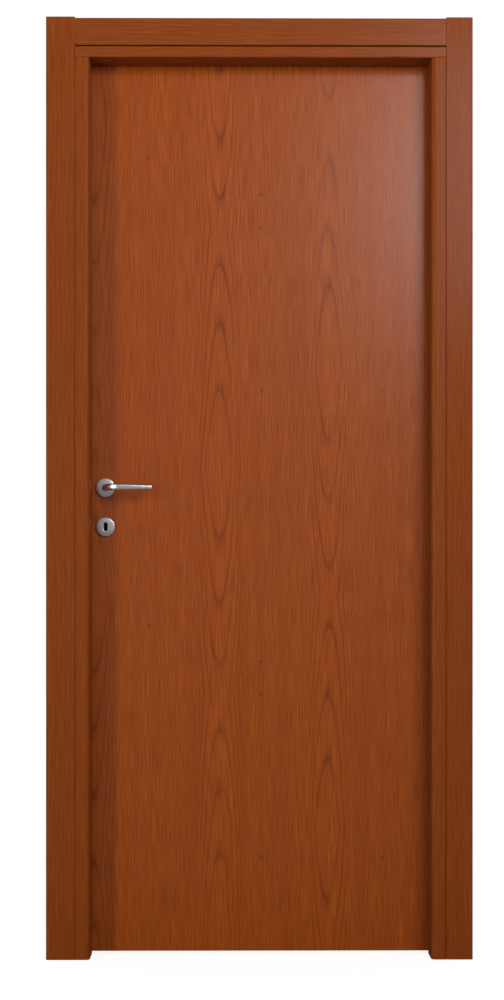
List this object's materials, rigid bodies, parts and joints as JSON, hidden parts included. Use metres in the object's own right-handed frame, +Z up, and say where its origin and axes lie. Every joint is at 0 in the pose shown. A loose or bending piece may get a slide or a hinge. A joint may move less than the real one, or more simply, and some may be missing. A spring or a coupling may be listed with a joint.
{
  "type": "interior door with frame",
  "caption": "Flush veneered single-leaf interior door, rebated into a timber frame with casings, barrel hinges and a lever handle over a key escutcheon.",
  "frame": {"origin": "foot of the hinge jamb's wall face, midway through the wall, at floor level", "axes": "+X from the latch side to the hinge side, +Y through the wall to the side the leaf opens to, +Z up"},
  "size_m": [0.997, 0.174, 2.2012],
  "materials": {
    "jamb_veneer": "cherry veneer, satin lacquer, upright grain",
    "casing_veneer": "cherry veneer, satin lacquer, upright grain",
    "head_veneer": "cherry veneer, satin lacquer, level grain",
    "leaf_veneer": "cherry veneer, satin lacquer, upright grain",
    "leaf_edging": "cherry edging, satin lacquer",
    "core_board": "raw board",
    "satin_nickel": "satin nickel plate on brass",
    "plated_steel": "nickel-plated steel",
    "seal_rubber": "dark brown sealing strip"
  },
  "bodies": {
    "frame": {"latch_jamb": "jamb_veneer", "hinge_jamb": "jamb_veneer", "head_jamb": "head_veneer", "front_latch_casing": "casing_veneer", "front_hinge_casing": "casing_veneer", "front_head_casing": "head_veneer", "back_latch_casing": "casing_veneer", "back_hinge_casing": "casing_veneer", "back_head_casing": "head_veneer", "latch_seal": "seal_rubber", "hinge_seal": "seal_rubber", "head_seal": "seal_rubber", "strike_plate": "plated_steel", "lower_frame_hinge": "satin_nickel", "middle_frame_hinge": "satin_nickel", "upper_frame_hinge": "satin_nickel"},
    "leaf": {"front_skin": "leaf_veneer", "back_skin": "leaf_veneer", "latch_stile": "leaf_edging", "hinge_stile": "leaf_edging", "top_rail": "leaf_edging", "bottom_rail": "leaf_edging", "core": "core_board", "lock_block": "core_board", "lock_case": "plated_steel", "lock_faceplate": "plated_steel", "latch_bolt": "plated_steel", "dead_bolt": "plated_steel", "front_rose": "satin_nickel", "back_rose": "satin_nickel", "front_escutcheon": "satin_nickel", "back_escutcheon": "satin_nickel", "lower_leaf_hinge": "satin_nickel", "middle_leaf_hinge": "satin_nickel", "upper_leaf_hinge": "satin_nickel"},
    "handle": {"front_lever": "satin_nickel", "back_lever": "satin_nickel", "spindle": "plated_steel", "follower": "plated_steel"}
  },
  "joints": [
    {"name": "leaf_swing", "type": "hinge", "parent": "frame", "child": "leaf", "pos_m": [-0.0255, 0.063, 1.06], "axis": [0, 0, -1], "range_deg": [0, 170]},
    {"name": "handle_turn", "type": "hinge", "parent": "leaf", "child": "handle", "pos_m": [-0.819, 0.047, 1.102], "axis": [0, 1, 0], "range_deg": [0, 40], "stiffness_Nm_per_rad": 1.2, "springref_deg": -34.38}
  ]
}
